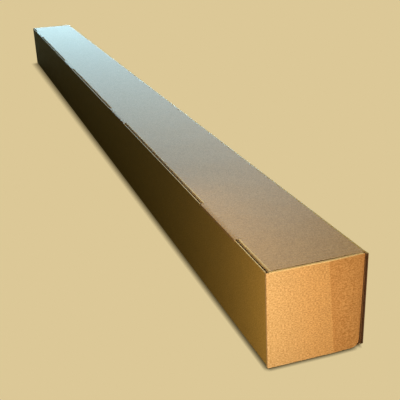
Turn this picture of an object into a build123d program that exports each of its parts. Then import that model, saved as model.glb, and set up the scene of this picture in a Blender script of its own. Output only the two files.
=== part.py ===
"""Long square mailing tube of corrugated kraft board, lying on its bottom panel.

One die-cut sheet is folded into a bottom, two long walls, a lid with a tuck flap, and a flap that
closes each end. X runs across the tube, Y along it and Z up. The near end is at -Y and the lid's
hinge at +X. The origin lies under the middle of the bottom panel, on the surface the tube rests on.
All in millimetres and degrees.
"""
import os
from math import sqrt

from build123d import *

# Outside of the closed tube
tube_length = 1836.0
tube_width = 113.0
tube_height = 110.0

# The board and its folds
board = 3.0
foot_fold_radius = 4.0
hinge_fold_radius = 2.8
tuck_fold_radius = 3.4
right_wall_lean = 3.0

# Clearances
fold_gap = 0.3
seam_gap = 0.6
swing_clearance = 0.5
panel_end_gap = 1.8
ear_gap = 0.5
flap_foot_clearance = 1.0
flap_top_clearance = 0.3
flap_edge_top_clearance = 0.3
flap_edge_foot_clearance = 1.6

# The lid's tuck flap, inside the left wall
seam_drop = 0.4
tuck_depth = 28.0
tuck_end_trim = 9.0
tuck_corner_radius = 9.0

# The lid's lock tabs and the recesses that they lie in
tab_count = 4
tab_length = 115.0
outer_tab_distance = 144.0
tab_window = 4.5
recess_end_clearance = 1.0
recess_floor_clearance = 0.4
recess_corner_radius = 1.0

# The end flaps
flap_foot_corner_radius = 9.0
flap_top_corner_radius = 2.5
crease_top_distance = 68.0
crease_foot_distance = 75.0
crease_bend = 2.0

half_length = tube_length / 2
half_width = tube_width / 2
wall_end = half_length - board - fold_gap
panel_end = half_length - board - panel_end_gap
lid_underside = tube_height - board
lid_edge = -half_width + board + seam_gap
tab_pitch = (tube_length - 2 * outer_tab_distance) / (tab_count - 1)

os.makedirs("parts", exist_ok=True)


# Tube body: the bottom panel with both long walls, one U of board whose right wall leans in a little
wall_top = tube_height - seam_drop
right_wall_top = lid_underside - fold_gap
right_foot = half_width - right_wall_lean
right_slope = right_wall_lean / tube_height

with BuildPart() as tube_body:
    with BuildSketch(Plane.XZ):
        with BuildLine():
            FilletPolyline(
                (-half_width, wall_top),
                (-half_width, 0),
                (right_foot, 0),
                (right_foot + right_slope * wall_top, wall_top),
                radius=foot_fold_radius,
            )
            offset(amount=board, side=Side.LEFT, closed=True)
        make_face()
    extrude(amount=half_length, both=True)

    # The left wall stops at the folds of the end flaps, and the bottom a little further back
    with BuildSketch(Plane.YZ.offset(-half_width)):
        Rectangle(tube_length, tube_height, align=(Align.CENTER, Align.MIN))
        Rectangle(2 * wall_end, tube_height, align=(Align.CENTER, Align.MIN), mode=Mode.SUBTRACT)
    extrude(amount=foot_fold_radius, mode=Mode.SUBTRACT)
    with BuildSketch(Plane.YZ.offset(-half_width + foot_fold_radius)):
        Rectangle(tube_length, foot_fold_radius, align=(Align.CENTER, Align.MIN))
        Rectangle(2 * panel_end, foot_fold_radius, align=(Align.CENTER, Align.MIN), mode=Mode.SUBTRACT)
    extrude(amount=tube_width, mode=Mode.SUBTRACT)

    # The right wall stops below the lid's hinge, but its ends run on past the flaps' edges as ears
    with BuildSketch(Plane.YZ):
        with Locations((0, right_wall_top)):
            Rectangle(2 * (panel_end + ear_gap), tube_height, align=(Align.CENTER, Align.MIN))
    extrude(amount=tube_width, mode=Mode.SUBTRACT)

    # Recesses in the left wall's top edge
    recess_floor = lid_underside - recess_floor_clearance
    with BuildSketch(Plane.YZ.offset(-half_width)):
        with Locations((0, recess_floor + half_width)):
            with GridLocations(tab_pitch, 1, tab_count, 1):
                RectangleRounded(tab_length + 2 * recess_end_clearance, tube_width, recess_corner_radius)
    extrude(amount=board, mode=Mode.SUBTRACT)
tube_body.part.label = "tube_body"
export_step(tube_body.part, "parts/tube_body.step")


# Lid: the top panel, hinged on the right wall, with its tuck flap leaning in along the path that its
# free edge swings on, so that it clears the left wall
swing_radius = tube_width - board - swing_clearance
tuck_tip = half_width - sqrt(swing_radius**2 - tuck_depth**2)

with BuildPart() as lid:
    with BuildSketch(Plane.XZ):
        with BuildLine():
            FilletPolyline(
                (half_width, tube_height),
                (lid_edge, tube_height),
                (tuck_tip, tube_height - tuck_depth),
                radius=tuck_fold_radius,
            )
            offset(amount=board, side=Side.LEFT, closed=True)
        make_face()
    extrude(amount=panel_end, both=True)
    hinge_edge = lid.edges().filter_by(Axis.Y).group_by(Axis.Z)[-1].sort_by(Axis.X)[-1]
    fillet(hinge_edge, hinge_fold_radius)

    # The tuck flap is shorter than the lid and its lower corners are rounded
    with BuildSketch(Plane.YZ.offset(lid_edge)):
        with Locations((0, lid_underside)):
            Rectangle(tube_length, tube_height, align=(Align.CENTER, Align.MAX))
            RectangleRounded(
                2 * (panel_end - tuck_end_trim),
                2 * (tuck_depth - board),
                tuck_corner_radius,
                mode=Mode.SUBTRACT,
            )
    extrude(amount=tube_width / 2, mode=Mode.SUBTRACT)

    # Each lock tab is cut out of the tuck flap's root and stays level with the lid
    tab_root = lid_edge + board + tuck_fold_radius
    with BuildSketch(Plane.YZ.offset(lid_edge)):
        with Locations((0, lid_underside - tab_window / 2)):
            with GridLocations(tab_pitch, 1, tab_count, 1):
                Rectangle(tab_length, tab_window)
    extrude(amount=board + tuck_fold_radius, mode=Mode.SUBTRACT)
    with BuildSketch(Plane.YZ.offset(-half_width)):
        with Locations((0, lid_underside + board / 2)):
            with GridLocations(tab_pitch, 1, tab_count, 1):
                Rectangle(tab_length, board)
    extrude(amount=tab_root + half_width)
lid.part.label = "lid"
export_step(lid.part, "parts/lid.step")


# End flaps: each folds round an end of the left wall and covers the ends of the bottom and the lid,
# with its free edge just inside the right wall
flap_foot = flap_foot_clearance
flap_top = tube_height - flap_top_clearance
level_board = board * sqrt(1 + right_slope**2)
foot_edge = right_foot + right_slope * flap_foot - level_board - flap_edge_foot_clearance
top_edge = right_foot + right_slope * flap_top - level_board - flap_edge_top_clearance

with BuildPart() as flat_flap:
    with BuildSketch(Plane.XZ.offset(half_length)) as flap_outline:
        with BuildLine():
            Polyline(
                (-half_width, flap_foot),
                (foot_edge, flap_foot),
                (top_edge, flap_top),
                (-half_width, flap_top),
                close=True,
            )
        make_face()
        top_corner = flap_outline.vertices().group_by(Axis.Y)[-1].sort_by(Axis.X)[-1]
        fillet(top_corner, flap_top_corner_radius)
        foot_corner = flap_outline.vertices().group_by(Axis.Y)[0].sort_by(Axis.X)[-1]
        fillet(foot_corner, flap_foot_corner_radius)
    extrude(amount=-board)
    fold_edge = flat_flap.edges().filter_by(Axis.Z).group_by(Axis.X)[0].sort_by(Axis.Y)[0]
    fillet(fold_edge, hinge_fold_radius)

# The near flap's free part is creased in; the far one, out of sight, is flat
crease_foot = Vector(crease_foot_distance - half_width, -half_length, 0)
crease_head = Vector(crease_top_distance - half_width, -half_length, tube_height)
crease_line = Axis(crease_foot, crease_head - crease_foot)
crease_plane = Plane(crease_foot, x_dir=(0, 1, 0), z_dir=crease_line.direction.cross(Vector(0, -1, 0)))

with BuildPart() as near_end_flap:
    add(split(flat_flap.part, bisect_by=crease_plane, keep=Keep.BOTTOM, mode=Mode.PRIVATE))
    free_part = split(flat_flap.part, bisect_by=crease_plane, keep=Keep.TOP, mode=Mode.PRIVATE)
    add(free_part.rotate(crease_line, crease_bend))
near_end_flap.part.label = "near_end_flap"
export_step(near_end_flap.part, "parts/near_end_flap.step")

with BuildPart() as far_end_flap:
    mirror(flat_flap.part, about=Plane.XZ)
far_end_flap.part.label = "far_end_flap"
export_step(far_end_flap.part, "parts/far_end_flap.step")
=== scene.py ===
"""The looks of a long square mailing tube, folded from one sheet of single-wall corrugated kraft board.

Each panel of the board is two paper liners with a fluted paper between them, so cut edges show
open flutes. The flutes run round the tube: upright in the walls and the end flaps, across it in the
bottom and the lid. Metres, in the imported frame: X across the tube, Y along it, Z up, near end at -Y.
"""

from math import atan2, cos, pi, radians, sin, sqrt, tan

import bmesh
import bpy
from mathutils import Matrix, Vector


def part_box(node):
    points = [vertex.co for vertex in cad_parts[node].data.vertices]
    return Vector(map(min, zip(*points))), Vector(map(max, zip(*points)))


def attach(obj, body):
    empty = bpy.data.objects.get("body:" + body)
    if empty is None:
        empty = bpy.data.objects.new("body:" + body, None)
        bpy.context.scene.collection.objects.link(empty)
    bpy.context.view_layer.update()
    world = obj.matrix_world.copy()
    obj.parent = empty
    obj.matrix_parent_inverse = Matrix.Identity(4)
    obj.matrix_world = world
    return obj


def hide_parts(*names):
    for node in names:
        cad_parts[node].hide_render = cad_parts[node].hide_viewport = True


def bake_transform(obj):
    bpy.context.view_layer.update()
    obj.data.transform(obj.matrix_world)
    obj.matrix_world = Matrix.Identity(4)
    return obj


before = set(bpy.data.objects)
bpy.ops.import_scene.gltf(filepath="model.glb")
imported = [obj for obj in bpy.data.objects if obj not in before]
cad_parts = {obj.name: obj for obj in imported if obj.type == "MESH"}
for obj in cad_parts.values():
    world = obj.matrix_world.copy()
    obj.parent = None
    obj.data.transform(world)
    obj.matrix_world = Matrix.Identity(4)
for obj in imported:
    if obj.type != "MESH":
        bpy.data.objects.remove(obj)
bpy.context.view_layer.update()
scene = bpy.context.scene
scene.view_settings.view_transform = "Standard"


# Camera
# It stands over the near end's left corner and looks along the tube, down and a little to the
# right, as the eye of someone who has just put the tube down.
focal_pixels = 753.2
frame_pixels = 400
sensor_width = 36.0
yaw_right = radians(17.64)
pitch_down = radians(21.41)
roll = radians(2.88)
eye = Vector((-0.3127, -1.5234, 0.4468))

forward = Vector((sin(yaw_right) * cos(pitch_down), cos(yaw_right) * cos(pitch_down), -sin(pitch_down)))
level_right = Vector((cos(yaw_right), -sin(yaw_right), 0))
level_down = forward.cross(level_right)
right = cos(roll) * level_right + sin(roll) * level_down
up = sin(roll) * level_right - cos(roll) * level_down

lens = bpy.data.cameras.new("camera")
lens.sensor_width = sensor_width
lens.lens = focal_pixels / frame_pixels * sensor_width
lens.clip_start = 0.01
camera = bpy.data.objects.new("camera", lens)
scene.collection.objects.link(camera)
camera.matrix_world = Matrix((right, up, -forward)).transposed().to_4x4()
camera.location = eye
scene.camera = camera


# Tube body, liners
# Brown kraft paper on both sides of the bottom and both long walls, in one piece round the two lower
# folds. It is cut with the board: stepped down under the lid's tabs, and cut back at the ends, where
# the end flaps fold round. Only the right wall's ends run on, as ears beside the flaps.
board = 0.003
liner = 0.00035
flute_pitch = 0.0065
fold_gap = 0.0003
seam_drop = 0.0004
tab_clearance = 0.0001
ear_gap = 0.0005
foot_fold = 0.004
foot_fold_facets = 6
wall_lean = 0.003
tab_count = 4
tab_pitch = 0.516
tab_half = 0.0575
recess_spare = 0.001
dragged_over = 0.0011
crisp_edge = radians(40)

body_low, body_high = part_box("tube_body")
lid_low, lid_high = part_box("lid")
left = body_low.x
half_length = body_high.y
hinge_line = lid_high.x
lid_top = lid_high.z
panel_end = lid_high.y
lid_underside = lid_top - board
wall_top = lid_top - seam_drop
fold_room = board + fold_gap
right_wall_top = lid_top - fold_room
right_foot = hinge_line - wall_lean
wall_end = half_length - fold_room
ear_from = panel_end + ear_gap
recess_floor = lid_underside - tab_clearance
tab_middles = [(n - (tab_count - 1) / 2) * tab_pitch for n in range(tab_count)]

# Corners, edges and faces are picked by their place, to within a hair
hair = 1e-5

# The paper's pattern. Real fibres are finer than this, and wouldn't show. A speck's dark core and its
# rim are shares of the specks' spacing, which makes it about 1 mm across.
fibre_width = 0.0012
fibre_length = 0.002
fibre_height = 0.00002
cloud_size = 0.011
cloud_thin = 0.3
cloud_thick = 0.7
cloud_tone = 0.04
speck_spacing = 0.0075
speck_core = 0.05
speck_rim = 0.09
speck_strength = 0.45
bark_brown = "#6B4524"
washboard_height = 0.00002
slack_size = 0.05
slack_height = 0.0002


def paint(hex_colour):
    """An sRGB hex colour as linear RGBA."""
    parts = [int(hex_colour[i:i + 2], 16) / 255 for i in (1, 3, 5)]
    return (*[c / 12.92 if c <= 0.04045 else ((c + 0.055) / 1.055) ** 2.4 for c in parts], 1)


def empty_tree(owner):
    """The node tree of a material or world, with nothing in it yet."""
    owner.use_nodes = True
    owner.node_tree.nodes.clear()
    return owner.node_tree


def add_node(tree, kind, settings, inputs):
    """Adds a node with its settings. Each input is a value, or the output that feeds it."""
    node = tree.nodes.new(kind)
    for name, value in settings.items():
        setattr(node, name, value)
    for name, value in inputs.items():
        if isinstance(value, bpy.types.NodeSocket):
            tree.links.new(value, node.inputs[name])
        else:
            node.inputs[name].default_value = value
    return node


def kraft_paper(name, browns, machine, grain=1.0, roughness=0.5):
    """Unbleached kraft liner, made on a paper machine. Its fibres lie more along the machine direction
    than across it, with clouds of thicker pulp, dark bark specks and a faint washboard over the flutes.
    The browns are those of the sheet, its dark fibres and its pale ones. More grain shows them more."""
    material = bpy.data.materials.new(name)
    tree = empty_tree(material)
    place = add_node(tree, "ShaderNodeTexCoord", {}, {}).outputs["Object"]

    stretch = Vector((1, 1, 1))
    stretch[machine] = fibre_width / fibre_length
    laid = add_node(tree, "ShaderNodeMapping", {}, {"Vector": place, "Scale": stretch})
    fibres = add_node(tree, "ShaderNodeTexNoise", {}, {
        "Vector": laid.outputs[0], "Scale": 1 / fibre_width, "Detail": 2.0, "Roughness": 0.5,
    })
    clouds = add_node(tree, "ShaderNodeTexNoise", {}, {
        "Vector": laid.outputs[0], "Scale": 1 / cloud_size, "Detail": 4.0, "Roughness": 0.65,
    })
    specks = add_node(tree, "ShaderNodeTexVoronoi", {}, {
        "Vector": place, "Scale": 1 / speck_spacing, "Randomness": 1.0,
    })

    # Most of the sheet is the plain brown, with darker and paler strands in it
    brown, dark_fibre, pale_fibre = browns
    contrast = 0.2 / grain
    strands = add_node(tree, "ShaderNodeValToRGB", {}, {"Fac": fibres.outputs["Fac"]})
    strands.color_ramp.elements[0].position = 0.5 - contrast
    strands.color_ramp.elements[0].color = paint(dark_fibre)
    strands.color_ramp.elements[1].position = 0.5 + contrast
    strands.color_ramp.elements[1].color = paint(pale_fibre)
    strands.color_ramp.elements.new(0.5).color = paint(brown)

    # The clouds make it a little darker or paler, and specks of bark show through it
    toning = add_node(tree, "ShaderNodeMapRange", {}, {
        "Value": clouds.outputs["Fac"], "From Min": cloud_thin, "From Max": cloud_thick,
        "To Min": 1 - cloud_tone, "To Max": 1 + cloud_tone,
    })
    toned = add_node(tree, "ShaderNodeVectorMath", {"operation": "SCALE"}, {
        0: strands.outputs["Color"], "Scale": toning.outputs[0],
    })
    speck_mask = add_node(tree, "ShaderNodeMapRange", {}, {
        "Value": specks.outputs["Distance"], "From Min": speck_core, "From Max": speck_rim,
        "To Min": speck_strength, "To Max": 0.0,
    })
    speckled = add_node(tree, "ShaderNodeMix", {"data_type": "RGBA"}, {
        "Factor": speck_mask.outputs[0], 6: toned.outputs[0], 7: paint(bark_brown),
    })

    # The liner sinks a few hundredths of a millimetre between the flute tips that it is glued to, and
    # the whole panel is very slightly slack
    axes = add_node(tree, "ShaderNodeSeparateXYZ", {}, {0: place})
    phase = add_node(tree, "ShaderNodeMath", {"operation": "MULTIPLY"}, {
        0: axes.outputs[machine], 1: 2 * pi / flute_pitch,
    })
    washboard = add_node(tree, "ShaderNodeMath", {"operation": "SINE"}, {0: phase.outputs[0]})
    slack = add_node(tree, "ShaderNodeTexNoise", {}, {
        "Vector": place, "Scale": 1 / slack_size, "Detail": 1.0,
    })
    relief = add_node(tree, "ShaderNodeBump", {}, {
        "Height": fibres.outputs["Fac"], "Distance": fibre_height, "Strength": 1.0,
    })
    for height, distance in (
            (washboard.outputs[0], washboard_height), (slack.outputs["Fac"], slack_height)):
        relief = add_node(tree, "ShaderNodeBump", {}, {
            "Height": height, "Distance": distance, "Strength": 1.0, "Normal": relief.outputs[0],
        })
    shader = add_node(tree, "ShaderNodeBsdfPrincipled", {}, {
        "Base Color": speckled.outputs[2], "Roughness": roughness, "IOR": 1.5,
        "Normal": relief.outputs[0],
    })
    add_node(tree, "ShaderNodeOutputMaterial", {}, {"Surface": shader.outputs[0]})
    return material


# The paper machine ran along the tube, at right angles to the flutes
ALONG_TUBE = 1
inner_browns = ("#BD9564", "#AA8050", "#CCA677")

# The smooth outer side is an olive brown with a soft sheen; its olive tint is painted shade, the hue
# the walls take in shade. The side that is glued to the fluting is painted dark and dull, as the shade
# inside the board's hollows. A cut edge shows clean pale pulp, but the ears' edges are painted dark, as
# the shade in the slot beside the flap. Paper that the die has pressed over an edge is painted palest
# of all, as a painted highlight there. The inner side is a plainer brown.
outer_kraft_shade_tinted = kraft_paper("kraft_liner_along_tube", ("#C2A052", "#AD893D", "#D2B266"), ALONG_TUBE)
shaded_glued_side = kraft_paper(
    "kraft_glued_side_painted_shade", ("#5E4128", "#4C331E", "#6E4E32"), ALONG_TUBE, roughness=0.9)
raw_edge = kraft_paper("kraft_cut_edge", ("#D2B084", "#BE986A", "#E2C69E"), ALONG_TUBE, roughness=0.8)
ear_edge_painted_shade = kraft_paper(
    "kraft_ear_edge_painted_shade", ("#6B4A2D", "#573A22", "#7C5838"), ALONG_TUBE, roughness=0.9)
pressed_edge_highlight = kraft_paper(
    "kraft_pressed_edge_highlight", ("#E8CA98", "#D6B482", "#F3DAAE"), ALONG_TUBE, roughness=0.6)
inner_kraft = kraft_paper("kraft_inner_liner", inner_browns, ALONG_TUBE)


def take(piece):
    """Makes one object the only selected one, and the active one."""
    bpy.ops.object.select_all(action="DESELECT")
    bpy.context.view_layer.objects.active = piece
    piece.select_set(True)


def new_sheet(name, size, middle, turn=(0, 0, 0)):
    """A flat square-cornered sheet with no thickness yet, left in edit mode."""
    bpy.ops.object.select_all(action="DESELECT")
    bpy.ops.mesh.primitive_plane_add(size=1, location=middle, rotation=turn)
    piece = bpy.context.object
    piece.name = piece.data.name = name
    piece.scale = (*size, 1)
    bpy.ops.object.transform_apply(location=True, rotation=True, scale=True)
    bpy.ops.object.mode_set(mode="EDIT")
    return piece


def pick(piece, kind, test):
    """Selects the corners, edges or faces whose middle passes the test, and nothing else."""
    bpy.ops.mesh.select_mode(type={"verts": "VERT", "edges": "EDGE", "faces": "FACE"}[kind])
    bpy.ops.mesh.select_all(action="DESELECT")
    mesh = bmesh.from_edit_mesh(piece.data)
    for part in getattr(mesh, kind):
        corners = [part.co] if kind == "verts" else [corner.co for corner in part.verts]
        if test(sum(corners, Vector()) / len(corners)):
            part.select_set(True)
    bmesh.update_edit_mesh(piece.data)


def pull_out(move):
    """Extrudes the selected edges or faces by a move."""
    bpy.ops.mesh.extrude_region_move(TRANSFORM_OT_translate={"value": move})


def score(point, normal):
    """Cuts all faces along a plane, which leaves an edge there."""
    bpy.ops.mesh.select_all(action="SELECT")
    bpy.ops.mesh.bisect(plane_co=point, plane_no=normal, threshold=1e-6)


def score_across(places):
    """Scores the whole sheet straight across the tube at each of these places along it."""
    for y in places:
        score((0, y, 0), (0, 1, 0))


def cut_away(piece, test):
    """Takes off the faces whose middle passes the test."""
    pick(piece, "faces", test)
    bpy.ops.mesh.delete(type="FACE")


def face_outwards(piece, test, outwards):
    """Turns all faces the same way round, so that the one that passes the test looks outwards."""
    bpy.ops.mesh.select_all(action="SELECT")
    bpy.ops.mesh.normals_make_consistent(inside=False)
    mesh = bmesh.from_edit_mesh(piece.data)
    tested = next(face for face in mesh.faces if test(face.calc_center_median()))
    if tested.normal.dot(outwards) < 0:
        bpy.ops.mesh.flip_normals()


def inwards(corner, depth):
    """The move that sinks a corner by the same depth below each of the faces that meet there."""
    same_way = 0.9999
    facings = []
    for face in corner.link_faces:
        if face.calc_area() > hair ** 2 and all(face.normal.dot(other) < same_way for other in facings):
            facings.append(face.normal)
    middle = sum(facings, Vector()).normalized()
    return -middle * depth / min(middle.dot(facing) for facing in facings)


def thicken(piece, thickness, offset, crisp_from, back=0, rim=0):
    """Gives a bare sheet its paper's thickness, with the material slots of its back and its rim. Edges
    sharper than the angle crisp_from stay crisp."""
    paper = piece.modifiers.new("paper", "SOLIDIFY")
    paper.thickness = thickness
    paper.offset = offset
    paper.material_offset = back
    paper.material_offset_rim = rim
    bpy.ops.object.modifier_apply(modifier=paper.name)
    bpy.ops.object.shade_smooth_by_angle(angle=crisp_from)


def layer(sheet, name, depth, thickness, front, back):
    """A copy of a bare sheet, sunk into the board by a depth and given the paper's own thickness. Its
    two sides differ, as where the side that the fluting is stuck to is painted dark, as shade."""
    bpy.ops.object.mode_set(mode="OBJECT")
    piece = sheet.copy()
    piece.data = sheet.data.copy()
    piece.name = piece.data.name = name
    scene.collection.objects.link(piece)
    take(piece)
    mesh = bmesh.new()
    mesh.from_mesh(piece.data)
    mesh.normal_update()
    moves = [inwards(corner, depth) for corner in mesh.verts]
    for corner, move in zip(mesh.verts, moves):
        corner.co += move
    mesh.to_mesh(piece.data)
    mesh.free()
    piece.data.materials.clear()
    for paper in (front, back, raw_edge):
        piece.data.materials.append(paper)
    thicken(piece, thickness, -1, crisp_edge, back=1, rim=2)
    return piece


def work_on(sheet):
    """Goes back into edit mode on a sheet that a layer was made from."""
    take(sheet)
    bpy.ops.object.mode_set(mode="EDIT")


def repaper(piece, paper, test):
    """Gives another paper to the faces whose middle passes the test."""
    piece.data.materials.append(paper)
    for face in piece.data.polygons:
        if test(face.center):
            face.material_index = len(piece.data.materials) - 1


def on_tab(y, spare):
    """Whether a place along the tube lies in a tab's length, with some to spare at both ends."""
    return any(abs(y - middle) < tab_half + spare for middle in tab_middles)


body_sheet = new_sheet(
    "body_sheet", (right_foot - left, 2 * half_length), ((right_foot + left) / 2, 0, 0))
pick(body_sheet, "edges", lambda p: p.x < left + hair)
pull_out((0, 0, wall_top))
pick(body_sheet, "edges", lambda p: p.x > right_foot - hair and p.z < hair)
pull_out((wall_lean * wall_top / lid_top, 0, wall_top))
pick(body_sheet, "edges", lambda p: abs(p.x) > right_foot - hair and p.z < hair)
bpy.ops.mesh.bevel(offset=foot_fold, segments=foot_fold_facets, affect="EDGES")
face_outwards(body_sheet, lambda p: p.z < hair, Vector((0, 0, -1)))
score_across([end * place for end in (-1, 1) for place in (wall_end, panel_end, ear_from)])
for height in (recess_floor, right_wall_top):
    score((0, 0, height), (0, 0, 1))
score_across([middle + side * (tab_half + recess_spare) for middle in tab_middles for side in (-1, 1)])
cut_away(body_sheet, lambda p: p.x < left + foot_fold and abs(p.y) > wall_end)
cut_away(body_sheet, lambda p: p.x > left + foot_fold and p.z < foot_fold - hair and abs(p.y) > panel_end)
cut_away(body_sheet, lambda p: p.x > 0 and p.z > right_wall_top and abs(p.y) < ear_from)
cut_away(body_sheet, lambda p: p.x < 0 and p.z > recess_floor and on_tab(p.y, recess_spare))

tube_inner_liner = layer(body_sheet, "tube_inner_liner", board - liner, liner, shaded_glued_side, inner_kraft)
# The ears' inner faces past the flaps are painted dark: painted shade of the slot beside each flap
repaper(tube_inner_liner, ear_edge_painted_shade, lambda p: p.x > 0 and abs(p.y) > ear_from)

# The knife has dragged the outer liner over the left wall's top edge, and shut both ends of the ears
work_on(body_sheet)
pick(body_sheet, "edges", lambda p: p.x < left + hair and p.z > wall_top - hair)
pull_out((dragged_over, 0, 0))
pick(body_sheet, "edges", lambda p: p.x > 0 and abs(p.y) > ear_from
     and (p.z > wall_top - hair or p.z < foot_fold + hair))
pull_out((liner - board, 0, 0))
face_outwards(body_sheet, lambda p: p.z < hair, Vector((0, 0, -1)))
tube_outer_liner = layer(body_sheet, "tube_outer_liner", 0, liner, outer_kraft_shade_tinted, shaded_glued_side)
# The ears' end faces are painted dark too, as painted shade
repaper(tube_outer_liner, ear_edge_painted_shade, lambda p: abs(p.y) > half_length - hair)
# Painted highlight: pale paper where the outer liner is dragged over the left wall's top edge
repaper(tube_outer_liner, pressed_edge_highlight, lambda p: p.x < 0 and p.z > wall_top - liner)
bpy.data.objects.remove(body_sheet)
for piece in (tube_outer_liner, tube_inner_liner):
    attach(piece, "tube")
    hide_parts("tube_body")


# Tube body, fluting
# Brown recycled paper, pressed into waves of B-flute size and glued between the liners. One strip
# lies in each panel and stops short of the folds, where the creasing has crushed it flat.
fluting_paper = 0.0002
flute_steps = 10
flute_height = (board - 2 * liner - fluting_paper) / 2
crisp_wave = radians(60)
open_end = 0.006
cut_inset = 0.0002
crushed_down = 0.0006
fold_clearance = 0.0005

# Recycled paper is darker and duller than kraft liner, and its brown is kept darker still as painted
# shade, so the open flutes look deep
fluting_browns = ("#9C7448", "#86603A", "#AE8656")
fluting_kraft = kraft_paper("recycled_fluting", fluting_browns, ALONG_TUBE, roughness=0.85)


def fluted_strip(name, width, first, last, place):
    """A strip of waves along its own Y from first to last, moved to its panel by a matrix."""
    steps = round((last - first) / flute_pitch * flute_steps)
    bpy.ops.object.select_all(action="DESELECT")
    bpy.ops.mesh.primitive_grid_add(x_subdivisions=1, y_subdivisions=steps, size=1)
    strip = bpy.context.object
    strip.name = strip.data.name = name
    strip.scale = (width, last - first, 1)
    strip.location.y = (first + last) / 2
    bpy.ops.object.transform_apply(location=True, rotation=True, scale=True)
    for corner in strip.data.vertices:
        corner.co.z = flute_height * sin(2 * pi * corner.co.y / flute_pitch)
    strip.data.transform(place)
    return strip


def join_up(name, strips, paper):
    """Joins the strips of one body and gives them the paper and its thickness."""
    take(strips[0])
    if len(strips) > 1:
        for strip in strips:
            strip.select_set(True)
        bpy.ops.object.join()
    piece = bpy.context.object
    piece.name = piece.data.name = name
    piece.data.materials.clear()
    piece.data.materials.append(paper)
    thicken(piece, fluting_paper, 0, crisp_wave)
    return piece


def panel_frame(middle, across, out):
    """The matrix that lays a strip at the panel's middle, its X along the flutes and its Z out of the
    board."""
    across, out = Vector(across).normalized(), Vector(out).normalized()
    turned = Matrix((across, out.cross(across), out)).transposed().to_4x4()
    return Matrix.Translation(middle) @ turned


left_height = wall_top - foot_fold - crushed_down
left_strip = fluted_strip(
    "left", left_height, -wall_end, wall_end,
    panel_frame((left + board / 2, 0, foot_fold + left_height / 2), (0, 0, 1), (1, 0, 0)))
for corner in left_strip.data.vertices:
    if corner.co.z > recess_floor - crushed_down and on_tab(corner.co.y, recess_spare):
        corner.co.z = recess_floor - crushed_down

bottom_left = left + foot_fold
bottom_right = right_foot - foot_fold
bottom_strip = fluted_strip(
    "bottom", bottom_right - bottom_left, -panel_end + cut_inset, panel_end - cut_inset,
    panel_frame(((bottom_left + bottom_right) / 2, 0, board / 2), (1, 0, 0), (0, 0, 1)))

lean = atan2(wall_lean, lid_top)
right_low = foot_fold + fold_clearance
right_middle = (right_low + right_wall_top) / 2
right_strip = fluted_strip(
    "right", right_wall_top - right_low, -half_length + open_end, half_length - open_end,
    panel_frame((right_foot + right_middle * tan(lean) - board / 2, 0, right_middle),
                (sin(lean), 0, cos(lean)), (cos(lean), 0, -sin(lean))))

tube_fluting = join_up("tube_fluting", [left_strip, bottom_strip, right_strip], fluting_kraft)
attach(tube_fluting, "tube")
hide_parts("tube_body")


# Lid
# The top panel of the same sheet, with its tuck flap folded down inside the left wall. Four tabs are
# cut out of the tuck flap's root with a knife, so they stay level with the lid and lie on the wall.
seam_gap = 0.0006
swing_clearance = 0.0005
tuck_fold = 0.0034
tuck_fold_facets = 7
tuck_trim = 0.009
tuck_corner = 0.009
tuck_corner_facets = 5
tab_window = 0.0045
knife_slit = 0.0005
pressed_sharp = 0.35
highlight_rim_width = 0.0026
overrun = 0.0011
tab_end_round = 0.0006
tab_end_facets = 2

lid_edge = left + board + seam_gap
flat_from = hinge_line - fold_room
tuck_depth = lid_top - lid_low.z
tuck_end = panel_end - tuck_trim
window_foot = lid_underside - tab_window
swing_radius = hinge_line - left - board - swing_clearance
tuck_foot_x = hinge_line - sqrt(swing_radius ** 2 - tuck_depth ** 2)
tuck_turn = pi - atan2(tuck_depth, tuck_foot_x - lid_edge)
fold_run = tuck_fold * tan(tuck_turn / 2)
fold_from = lid_edge + fold_run
tab_root = lid_edge + tuck_fold + board

# The lid's outer side has the same finish as the walls', without their olive painted-shade tint: a warmer
# brown
lid_kraft = kraft_paper("kraft_lid_liner", ("#C49A68", "#B08452", "#D3AC7B"), ALONG_TUBE)

lid_sheet = new_sheet(
    "lid_sheet", (flat_from - lid_edge, 2 * panel_end), ((flat_from + lid_edge) / 2, 0, lid_top))
pick(lid_sheet, "edges", lambda p: p.x < lid_edge + hair)
pull_out((tuck_foot_x - lid_edge, 0, -tuck_depth))
pick(lid_sheet, "edges", lambda p: p.x < lid_edge + hair and p.z > lid_top - hair)
bpy.ops.mesh.bevel(offset=fold_run, segments=tuck_fold_facets, affect="EDGES")
face_outwards(lid_sheet, lambda p: p.z > lid_top - hair, Vector((0, 0, 1)))
score((tab_root, 0, 0), (1, 0, 0))
for height in (window_foot, lid_underside):
    score((0, 0, height), (0, 0, 1))
score_across([-tuck_end, tuck_end])
score_across([middle + side * (tab_half + spare)
              for middle in tab_middles for side in (-1, 1) for spare in (0, knife_slit)])

# The tuck flap is shorter than the lid, whose rounded edge runs on, and no tuck fold is left at a tab
cut_away(lid_sheet, lambda p: p.z < lid_underside and abs(p.y) > tuck_end)
cut_away(lid_sheet, lambda p: p.x < fold_from - hair and p.z > window_foot and on_tab(p.y, knife_slit))
cut_away(lid_sheet, lambda p: tab_root > p.x > lid_edge and p.z > lid_top - hair
         and on_tab(p.y, knife_slit) and not on_tab(p.y, 0))
pick(lid_sheet, "edges", lambda p: abs(p.x - fold_from) < hair and p.z > lid_top - hair
     and on_tab(p.y, -hair))
pull_out((left - fold_from, 0, 0))
pick(lid_sheet, "verts", lambda p: p.z < lid_low.z + hair and abs(p.y) > tuck_end - hair)
bpy.ops.mesh.bevel(offset=tuck_corner, segments=tuck_corner_facets, affect="VERTICES")

lid_inner_liner = layer(lid_sheet, "lid_inner_liner", board - liner, liner, shaded_glued_side, inner_kraft)

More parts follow.
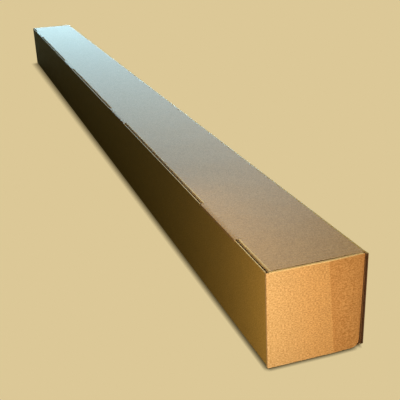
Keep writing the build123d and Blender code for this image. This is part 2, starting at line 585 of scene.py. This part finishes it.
# The outer liner is pressed to a sharper corner along the tuck fold, and dragged over the tabs' ends.
# At the lid's ends it runs on a little past the board, more on the left than on the right.
work_on(lid_sheet)
pick(lid_sheet, "verts", lambda p: p.x < fold_from + hair and p.z > lid_top - fold_run
     and not on_tab(p.y, hair))
bpy.ops.transform.resize(value=(pressed_sharp, 1, pressed_sharp), center_override=(lid_edge, 0, lid_top))
score((lid_edge + highlight_rim_width, 0, 0), (1, 0, 0))
for end in (-1, 1):
    pick(lid_sheet, "verts", lambda p: end * p.y > panel_end - hair and p.x < tab_root + hair)
    bpy.ops.transform.translate(value=(0, end * overrun, 0))
pick(lid_sheet, "edges", lambda p: p.x < left + hair)
pull_out((0, 0, liner - board))
pick(lid_sheet, "edges", lambda p: p.x < left + hair and p.z > lid_top - hair)
bpy.ops.mesh.bevel(offset=tab_end_round, segments=tab_end_facets, affect="EDGES")
face_outwards(lid_sheet, lambda p: p.z > lid_top - hair, Vector((0, 0, 1)))
lid_outer_liner = layer(lid_sheet, "lid_outer_liner", 0, liner, lid_kraft, shaded_glued_side)
# Painted highlight: pale paper along the tuck fold's pressed corner, beside the tabs
repaper(lid_outer_liner, pressed_edge_highlight, lambda p: lid_edge - hair < p.x < lid_edge + highlight_rim_width
        and p.z > lid_top - fold_run * pressed_sharp and not on_tab(p.y, 0))
bpy.data.objects.remove(lid_sheet)

lid_level = lid_top - board / 2
top_strip = fluted_strip(
    "top", flat_from - fold_from, -panel_end + cut_inset, panel_end - cut_inset,
    panel_frame(((flat_from + fold_from) / 2, 0, lid_level), (1, 0, 0), (0, 0, 1)))
tab_from = left + liner
tab_strips = [
    fluted_strip("tab", fold_from - tab_from, middle - tab_half, middle + tab_half,
                 panel_frame(((fold_from + tab_from) / 2, 0, lid_level), (1, 0, 0), (0, 0, 1)))
    for middle in tab_middles
]
tuck_run = Vector((tuck_foot_x - lid_edge, 0, -tuck_depth)).normalized()
into_tube = Vector((-tuck_run.z, 0, tuck_run.x))
tuck_halfway = lid_top - (lid_low.z + window_foot) / 2
tuck_middle = Vector((lid_edge, 0, lid_top)) + tuck_run * tuck_halfway + into_tube * board / 2
tuck_strip = fluted_strip(
    "tuck", window_foot - lid_low.z, -tuck_end + tuck_corner, tuck_end - tuck_corner,
    panel_frame(tuck_middle, -tuck_run, into_tube))
lid_fluting = join_up("lid_fluting", [top_strip, tuck_strip, *tab_strips], fluting_kraft)
for piece in (lid_outer_liner, lid_inner_liner, lid_fluting):
    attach(piece, "lid")
    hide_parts("lid")


# End flaps
# One flap at each end of the left wall, with its flutes upright. It is folded round the wall's end and
# covers the ends of the bottom and the lid. The die has pressed its top edge shut, and the near one's
# free part has been creased inwards.
foot_corner = 0.009
foot_corner_facets = 6
top_corner = 0.0008
top_corner_facets = 4
crease_top = 0.068
crease_foot = 0.075
crease_angle = radians(2)
crease_softness = 0.0015
crease_scores = (-0.006, -0.003, -0.0015, 0, 0.0015, 0.003, 0.006)
foot_slack = 0.0013
shut_edge = 0.0007
shut_edge_facets = 3
flute_inset = 0.001
# Painted light on the near flap: a highlight along the crease, and shade away from the fold and beyond
# the crease
crease_highlight_half = 0.0009
crease_highlight_tone = 1.12
falloff_shade_tint = "#FFF0DD"
crease_shade_tint = "#F1E6DA"

flap_low, flap_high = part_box("far_end_flap")
flap_height = flap_high.z - flap_low.z
flap_middle = (flap_high.z + flap_low.z) / 2
flap_from = left + fold_room
foot_trim = flap_height * wall_lean / lid_top + foot_slack
flute_edge = flap_high.x - foot_trim - flute_inset
crease_slant = (crease_foot - crease_top) / lid_top

# The same papers, with the machine direction across the tube. They look grainier in the warm light.
ACROSS_TUBE = 0
flap_kraft = kraft_paper(
    "kraft_liner_across_tube", ("#C99E6A", "#B18450", "#DAB281"), ACROSS_TUBE, grain=1.3)
creased_kraft = kraft_paper(
    "kraft_creased_flap", ("#C9A97B", "#B18E5F", "#DABE94"), ACROSS_TUBE, grain=1.3)
flap_inner_kraft = kraft_paper("kraft_flap_inside", inner_browns, ACROSS_TUBE)
flap_fluting_kraft = kraft_paper(
    "recycled_flap_fluting", fluting_browns, ACROSS_TUBE, roughness=0.85)


def paint_flap_light_and_shade(material):
    """Paints light and shade on the flap. It is palest by its fold and browner away from it, as painted
    shade of the lamp's falloff. The part beyond the crease, which is bent in, is a little darker as
    painted shade, and the crease itself gets a pale painted highlight."""
    tree = material.node_tree
    shader = tree.nodes["Principled BSDF"]
    clean = shader.inputs["Base Color"].links[0].from_socket
    place = add_node(tree, "ShaderNodeTexCoord", {}, {}).outputs["Object"]
    across = add_node(tree, "ShaderNodeVectorMath", {"operation": "DOT_PRODUCT"}, {
        0: place, 1: (1, 0, crease_slant),
    })
    beyond = add_node(tree, "ShaderNodeMath", {"operation": "SUBTRACT"}, {
        0: across.outputs["Value"], 1: left + crease_foot,
    })
    away_from_fold = add_node(tree, "ShaderNodeMapRange", {"interpolation_type": "SMOOTHSTEP"}, {
        "Value": beyond.outputs[0], "From Min": -crease_foot, "From Max": 0.0,
    })
    falloff_shaded = add_node(tree, "ShaderNodeMix", {"data_type": "RGBA", "blend_type": "MULTIPLY"}, {
        "Factor": away_from_fold.outputs[0], 6: clean, 7: paint(falloff_shade_tint),
    })
    free_part = add_node(tree, "ShaderNodeMapRange", {"interpolation_type": "SMOOTHSTEP"}, {
        "Value": beyond.outputs[0], "From Min": -crease_highlight_half, "From Max": 2 * crease_highlight_half,
    })
    crease_shaded = add_node(tree, "ShaderNodeMix", {"data_type": "RGBA", "blend_type": "MULTIPLY"}, {
        "Factor": free_part.outputs[0], 6: falloff_shaded.outputs[2], 7: paint(crease_shade_tint),
    })
    from_crease = add_node(tree, "ShaderNodeMath", {"operation": "ABSOLUTE"}, {0: beyond.outputs[0]})
    crease_highlight = add_node(tree, "ShaderNodeMapRange", {}, {
        "Value": from_crease.outputs[0], "From Min": 0.0, "From Max": crease_highlight_half,
        "To Min": crease_highlight_tone, "To Max": 1.0,
    })
    painted_flap_colour = add_node(tree, "ShaderNodeVectorMath", {"operation": "SCALE"}, {
        0: crease_shaded.outputs[2], "Scale": crease_highlight.outputs[0],
    })
    tree.links.new(painted_flap_colour.outputs[0], shader.inputs["Base Color"])


def crease(piece):
    """Bends the free part of a flap in about its slanting crease line."""
    for corner in piece.data.vertices:
        line = left + crease_foot - crease_slant * corner.co.z
        beyond = corner.co.x - line
        corner.co.y += tan(crease_angle) * (beyond + sqrt(beyond ** 2 + crease_softness ** 2)) / 2


paint_flap_light_and_shade(creased_kraft)
for end, name, body, paper in (
        (-1, "near_end_flap", "near_flap", creased_kraft), (1, "far_end_flap", "far_flap", flap_kraft)):
    flap_sheet = new_sheet(
        "flap_sheet", (flap_high.x - flap_from, flap_height),
        ((flap_high.x + flap_from) / 2, end * half_length, flap_middle), (pi / 2, 0, 0))
    pick(flap_sheet, "verts", lambda p: p.x > 0 and p.z < flap_middle)
    bpy.ops.transform.translate(value=(-foot_trim, 0, 0))
    bpy.ops.mesh.bevel(offset=foot_corner, segments=foot_corner_facets, affect="VERTICES")
    pick(flap_sheet, "verts", lambda p: p.x > 0 and p.z > flap_high.z - hair)
    bpy.ops.mesh.bevel(offset=top_corner, segments=top_corner_facets, affect="VERTICES")
    # Scores beside the crease let the paper bend softly there
    for beside in crease_scores:
        score((left + crease_foot + beside, 0, 0), (lid_top, 0, crease_foot - crease_top))
    face_outwards(flap_sheet, lambda p: True, Vector((0, end, 0)))
    inner_liner = layer(
        flap_sheet, name + "_inner_liner", board - liner, liner, shaded_glued_side, flap_inner_kraft)

    # The outer liner runs over the top edge, to the inner one
    work_on(flap_sheet)
    pick(flap_sheet, "edges", lambda p: p.z > flap_high.z - hair)
    pull_out((0, -end * (board - liner), 0))
    pick(flap_sheet, "edges", lambda p: p.z > flap_high.z - hair and abs(p.y) > half_length - hair)
    bpy.ops.mesh.bevel(offset=shut_edge, segments=shut_edge_facets, affect="EDGES")
    outer_liner = layer(flap_sheet, name + "_outer_liner", 0, liner, paper, shaded_glued_side)
    # Painted highlight: pale paper on the flap's shut top edge
    repaper(outer_liner, pressed_edge_highlight, lambda p: p.z > flap_high.z - shut_edge)
    bpy.data.objects.remove(flap_sheet)

    # The strip's own Y runs along world X here, and it is cut to the rounded lower corner
    strip = fluted_strip(
        name, flap_height - shut_edge, flap_from, flute_edge,
        Matrix(((0, 1, 0, 0), (0, 0, end, end * (half_length - board / 2)),
                (1, 0, 0, flap_middle - shut_edge / 2), (0, 0, 0, 1))))
    for corner in strip.data.vertices:
        into_corner = corner.co.x - (flute_edge - foot_corner)
        if into_corner > 0 and corner.co.z < flap_middle:
            corner.co.z += foot_corner - sqrt(foot_corner ** 2 - min(into_corner, foot_corner) ** 2)
    fluting = join_up(name + "_fluting", [strip], flap_fluting_kraft)

    for piece in (outer_liner, inner_liner, fluting):
        if end < 0:
            crease(piece)
        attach(piece, body)
        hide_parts(name)


# Folds
# Where the lid and the end flaps hinge, the board is creased and crushed. The outer liner runs round the
# corner, and the inner one is pressed into it as a narrow pleat.
fold_radius = 0.0016
fold_facets = 9
pleat_paper = 0.0002
pleat_near = 0.00115
pleat_far = 0.0015


def fold(name, corner, into_panel, into_wall, length, paper, inner_paper):
    """Both liners of one fold. They are made with the fold line along Y, the panel along X and the wall
    along Z, and then moved to their corner."""
    outer_reach = fold_room - fold_radius
    outer = new_sheet(
        "outer", (outer_reach, length), (0, 0, (fold_room + fold_radius) / 2), (0, pi / 2, 0))
    pick(outer, "edges", lambda p: p.z < fold_radius + hair)
    bpy.ops.mesh.spin(
        steps=fold_facets, angle=pi / 2, center=(fold_radius, 0, fold_radius), axis=(0, 1, 0))
    pick(outer, "edges", lambda p: p.x > fold_radius - hair and p.z < hair)
    pull_out((outer_reach, 0, 0))
    face_outwards(outer, lambda p: p.x < hair, Vector((-1, 0, 0)))
    strip = layer(outer, name + "_outer_liner", 0, liner, paper, shaded_glued_side)

    # The pleat crosses the corner at 45 degrees, and slopes back to the inner liner of each side
    pleat_middle = (pleat_near + pleat_far) / 2
    pleat_width = (pleat_far - pleat_near) * sqrt(2)
    slope_across = board - liner / 2 - pleat_near
    slope_along = fold_room - pleat_far
    inner = new_sheet(
        "inner", (pleat_width, length), (pleat_middle, 0, pleat_middle), (0, pi / 4, 0))
    pick(inner, "edges", lambda p: p.z > pleat_middle + hair)
    pull_out((slope_across, 0, slope_along))
    pick(inner, "edges", lambda p: p.x > pleat_middle + hair and p.z < pleat_middle - hair)
    pull_out((slope_along, 0, slope_across))
    face_outwards(inner, lambda p: abs(p.x - pleat_middle) < hair, Vector((1, 0, 1)))
    pleat = layer(inner, name + "_inner_liner", 0, pleat_paper, shaded_glued_side, inner_paper)
    for sheet in (outer, inner):
        bpy.data.objects.remove(sheet)

    into_panel, into_wall = Vector(into_panel), Vector(into_wall)
    to_corner = Matrix((into_panel, into_wall.cross(into_panel), into_wall)).transposed().to_4x4()
    to_corner.translation = corner
    for piece in (strip, pleat):
        piece.data.transform(to_corner)
        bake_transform(piece)


fold("lid_fold", (hinge_line, 0, lid_top), (-1, 0, 0), (0, 0, -1),
     2 * panel_end, outer_kraft_shade_tinted, inner_kraft)
for end, name, body, paper in (
        (-1, "near_flap_fold", "near_flap", creased_kraft), (1, "far_flap_fold", "far_flap", flap_kraft)):
    fold(name, (left, end * half_length, (flap_low.z + wall_top) / 2), (1, 0, 0), (0, -end, 0),
         wall_top - flap_low.z, paper, flap_inner_kraft)


# Floor and daylight
# A plain tan floor that goes on to the horizon. The eye sees it evenly lit, with a soft painted shadow
# where the tube stands on it, darker where a spot is more closed in, and it sends only a little light
# back up at the board.
backdrop_tan = paint("#DCC897")
floor_tan = paint("#80745A")
painted_shadow_brown = paint("#4A3F24")
overcast = paint("#E4E8EC")
overcast_strength = 0.03
floor_size = 60
floor_drop = 0.0002
shadow_depth = 2.5
shadow_samples = 16
near_reach = 0.0055
far_reach = 0.022
right_reach_share = 0.4

bpy.ops.object.select_all(action="DESELECT")
bpy.ops.mesh.primitive_plane_add(size=floor_size, location=(0, 0, -floor_drop))
floor = bpy.context.object
floor.name = floor.data.name = "floor"
floor_material = bpy.data.materials.new("tan_floor")
tree = empty_tree(floor_material)
rays = add_node(tree, "ShaderNodeLightPath", {}, {})

# The painted shadow is wider towards the far end, and narrow on the right, where the soft lamp stands
place = add_node(tree, "ShaderNodeTexCoord", {}, {}).outputs["Object"]
axes = add_node(tree, "ShaderNodeSeparateXYZ", {}, {0: place})
reach = add_node(tree, "ShaderNodeMapRange", {}, {
    "Value": axes.outputs["Y"], "From Min": -half_length, "From Max": half_length,
    "To Min": near_reach, "To Max": far_reach,
})
reach_share = add_node(tree, "ShaderNodeMapRange", {}, {
    "Value": axes.outputs["X"], "From Min": right_foot - board, "From Max": hinge_line,
    "To Min": 1.0, "To Max": right_reach_share,
})
shadow_reach = add_node(tree, "ShaderNodeMath", {"operation": "MULTIPLY"}, {
    0: reach.outputs[0], 1: reach_share.outputs[0],
})
open_sky = add_node(tree, "ShaderNodeAmbientOcclusion", {"samples": shadow_samples}, {
    "Distance": shadow_reach.outputs[0],
})
painted_light_share = add_node(tree, "ShaderNodeMath", {"operation": "POWER"}, {
    0: open_sky.outputs["AO"], 1: shadow_depth,
})
painted_shadow_tan = add_node(tree, "ShaderNodeMix", {"data_type": "RGBA"}, {
    "Factor": painted_light_share.outputs[0], 6: painted_shadow_brown, 7: backdrop_tan,
})
seen = add_node(tree, "ShaderNodeEmission", {}, {"Color": painted_shadow_tan.outputs[2]})
dim = add_node(tree, "ShaderNodeBsdfDiffuse", {}, {"Color": floor_tan})
both = add_node(tree, "ShaderNodeMixShader", {}, {
    0: rays.outputs["Is Camera Ray"], 1: dim.outputs[0], 2: seen.outputs[0],
})
add_node(tree, "ShaderNodeOutputMaterial", {}, {"Surface": both.outputs[0]})
floor.data.materials.append(floor_material)

world = bpy.data.worlds.new("world")
scene.world = world
tree = empty_tree(world)
rays = add_node(tree, "ShaderNodeLightPath", {}, {})
dim = add_node(tree, "ShaderNodeBackground", {}, {"Color": overcast, "Strength": overcast_strength})
seen = add_node(tree, "ShaderNodeBackground", {}, {"Color": backdrop_tan, "Strength": 1.0})
both = add_node(tree, "ShaderNodeMixShader", {}, {
    0: rays.outputs["Is Camera Ray"], 1: dim.outputs[0], 2: seen.outputs[0],
})
add_node(tree, "ShaderNodeOutputWorld", {}, {"Surface": both.outputs[0]})


# Lamps
# A small warm lamp stands low before the near end. A faint strip hangs close over the lid's near left
# edge, and a long one lies low beside the left wall, slanting away from it towards the far end. A soft
# lamp stands over the right wall, and pale blue window light glances off the lid from the far end.
def lamp(name, colour, watts, size, place, target):
    """A rectangular lamp of this size, at a place and turned to a target."""
    light = bpy.data.lights.new(name, "AREA")
    light.shape = "RECTANGLE"
    light.size, light.size_y = size
    light.energy = watts
    light.color = paint(colour)[:3]
    stand = bpy.data.objects.new(name, light)
    scene.collection.objects.link(stand)
    stand.location = place
    stand.rotation_euler = (Vector(target) - Vector(place)).to_track_quat("-Z", "Y").to_euler()
    stand.visible_camera = False


lamp("warm_lamp", "#FFE2B6", 1.2, (0.14, 0.14), (-0.145, -1.18, 0.1), (0, -half_length, 0.055))
lamp("strip_lamp", "#FFEDAF", 0.048, (0.03, 0.3), (-0.055, -0.8, 0.19), (-0.055, -0.8, 0.11))
lamp("floor_lamp", "#F0F07C", 0.044, (1.83, 0.02), (-0.29, -0.05, 0.012), (1.51, 0.26, 0.012))
lamp("soft_lamp", "#FFF6C8", 17.0, (1.2, 0.8), (1.2, -0.8, 0.9), (0, -0.5, 0.1))
lamp("window", "#C4F1FF", 42.0, (2.0, 0.6), (0.7, 2.4, 0.5), (0, 0.9, 0.1))
